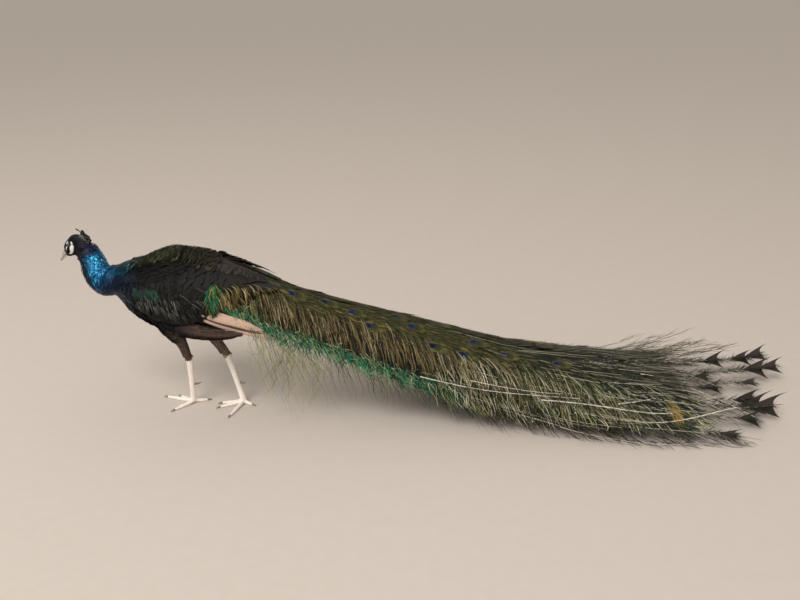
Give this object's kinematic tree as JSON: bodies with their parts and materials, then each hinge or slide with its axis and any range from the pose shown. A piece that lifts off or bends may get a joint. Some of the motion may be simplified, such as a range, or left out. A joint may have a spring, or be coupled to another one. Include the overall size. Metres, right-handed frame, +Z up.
{
  "type": "peacock model",
  "caption": "Life-size still model of a male Indian peafowl walking with its head low and its long train trailing on the floor behind it.",
  "frame": {"origin": "on the floor, under the middle of the whole bird's bounding box", "axes": "+Z up; the bird faces -X, its left side is -Y, and the train runs out along +X"},
  "size_m": [1.8738, 0.4732, 0.4887],
  "materials": {
    "skin": "short dark blue and black plush with bare white skin round the eye",
    "neck": "glossy blue scale-like feathers",
    "body": "dark green-black feathers with bronze edges",
    "wing": "smooth near-black feathers",
    "primaries": "pinkish buff flight feathers with pale shafts",
    "brown": "soft black-brown feathers",
    "train": "golden olive and green loose-barbed feathers with dark blue eyes",
    "strands": "thin olive barbs",
    "shank": "pale bone-coloured scales",
    "horn": "pale horn",
    "eye": "wet dark brown"
  },
  "bodies": {
    "root": {"head": "skin", "neck_upper": "neck", "neck_lower": "neck", "crest": "neck", "trunk": "body", "wing_left": "wing", "wing_right": "wing", "primaries_left": "primaries", "primaries_right": "primaries", "flank_left": "brown", "flank_right": "brown", "thigh_left": "brown", "thigh_right": "brown", "tail": "brown", "train_base": "train", "train_middle": "train", "train_rear": "train", "train_end": "train", "strands_left": "strands", "strands_right": "strands", "shank_left": "shank", "shank_right": "shank", "foot_left": "shank", "foot_right": "shank", "bill_upper": "horn", "bill_lower": "horn", "spur_left": "horn", "spur_right": "horn", "claw_inner_left": "horn", "claw_middle_left": "horn", "claw_outer_left": "horn", "claw_hind_left": "horn", "claw_inner_right": "horn", "claw_middle_right": "horn", "claw_outer_right": "horn", "claw_hind_right": "horn", "eye_left": "eye", "eye_right": "eye"}
  },
  "joints": []
}
